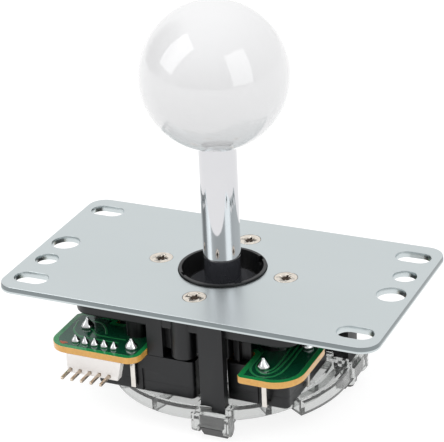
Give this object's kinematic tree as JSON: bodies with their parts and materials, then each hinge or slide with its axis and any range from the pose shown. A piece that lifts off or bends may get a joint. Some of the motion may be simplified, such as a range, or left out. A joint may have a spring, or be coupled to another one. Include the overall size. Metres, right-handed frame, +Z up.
{
  "type": "arcade joystick lever",
  "caption": "Arcade joystick lever with a ball top on a chromed shaft, a steel mounting plate, a clear clip-on gate and microswitches on a circuit board with a pin header.",
  "frame": {"origin": "centre of the mounting plate's top face, on the lever's axis", "axes": "+Z up along the lever towards the ball, +X along the plate's long side, +Y to the back; the header is at the front left"},
  "size_m": [0.095, 0.0657, 0.0967],
  "materials": {
    "plate_steel": "satin zinc plate",
    "screw_steel": "nickel plate",
    "housing_plastic": "fine matte",
    "pivot_plastic": "smooth, low gloss",
    "ball_plastic": "polished",
    "insert_brass": "turned",
    "shaft_chrome": "polished",
    "spring_steel": "drawn wire",
    "board_laminate": "solder mask over laminate",
    "solder": "bright",
    "pin_metal": "tin plate",
    "header_plastic": "moulded",
    "switch_plastic": "moulded",
    "plunger_plastic": "moulded",
    "contact_brass": "spring strip",
    "gate_clear": "clear, moulded"
  },
  "bodies": {
    "housing": {"mounting_plate": "plate_steel", "main_body": "housing_plastic", "spring_seat": "pivot_plastic", "circuit_board": "board_laminate", "solder_joints": "solder", "header_housing": "header_plastic", "header_pins": "pin_metal", "gate_holder": "gate_clear", "restrictor_plate": "gate_clear", "plate_screw_front": "screw_steel", "switch_cover_front": "switch_plastic", "switch_base_front": "switch_plastic", "switch_contacts_front": "contact_brass", "switch_terminals_front": "pin_metal", "plate_screw_right": "screw_steel", "switch_cover_right": "switch_plastic", "switch_base_right": "switch_plastic", "switch_contacts_right": "contact_brass", "switch_terminals_right": "pin_metal", "plate_screw_back": "screw_steel", "switch_cover_back": "switch_plastic", "switch_base_back": "switch_plastic", "switch_contacts_back": "contact_brass", "switch_terminals_back": "pin_metal", "plate_screw_left": "screw_steel", "switch_cover_left": "switch_plastic", "switch_base_left": "switch_plastic", "switch_contacts_left": "contact_brass", "switch_terminals_left": "pin_metal"},
    "return_spring": {"spring": "spring_steel"},
    "pivot": {"pivot": "pivot_plastic", "actuator": "pivot_plastic"},
    "lever": {"ball_top": "ball_plastic", "ball_insert": "insert_brass", "shaft": "shaft_chrome", "e_ring": "spring_steel"},
    "plunger_front": {"switch_plunger_front": "plunger_plastic"},
    "plunger_right": {"switch_plunger_right": "plunger_plastic"},
    "plunger_back": {"switch_plunger_back": "plunger_plastic"},
    "plunger_left": {"switch_plunger_left": "plunger_plastic"}
  },
  "joints": [
    {"name": "tilt_front_back", "type": "hinge", "parent": "housing", "child": "return_spring", "pos_m": [0, 0, -0.0039], "axis": [1, 0, 0], "range_deg": [-10, 10], "stiffness_Nm_per_rad": 0.35, "deforming": ["spring"]},
    {"name": "tilt_left_right", "type": "hinge", "parent": "return_spring", "child": "pivot", "pos_m": [0, 0, -0.0039], "axis": [0, 1, 0], "range_deg": [-10, 10], "stiffness_Nm_per_rad": 0.35, "deforming": ["spring"]},
    {"name": "lever_spin", "type": "hinge", "parent": "pivot", "child": "lever", "pos_m": [0, 0, 0], "axis": [0, 0, 1], "continuous": true},
    {"name": "plunger_travel_front", "type": "slide", "parent": "housing", "child": "plunger_front", "axis": [0, -1, 0], "range_m": [-0.0021, 0.0021]},
    {"name": "plunger_travel_right", "type": "slide", "parent": "housing", "child": "plunger_right", "axis": [1, 0, 0], "range_m": [-0.0021, 0.0021]},
    {"name": "plunger_travel_back", "type": "slide", "parent": "housing", "child": "plunger_back", "axis": [0, 1, 0], "range_m": [-0.0021, 0.0021]},
    {"name": "plunger_travel_left", "type": "slide", "parent": "housing", "child": "plunger_left", "axis": [-1, 0, 0], "range_m": [-0.0021, 0.0021]}
  ],
  "couplings": [
    {"joint": "plunger_travel_front", "follows": "tilt_front_back", "m_per_rad": -0.012},
    {"joint": "plunger_travel_right", "follows": "tilt_left_right", "m_per_rad": -0.012},
    {"joint": "plunger_travel_back", "follows": "tilt_front_back", "m_per_rad": 0.012},
    {"joint": "plunger_travel_left", "follows": "tilt_left_right", "m_per_rad": 0.012}
  ]
}
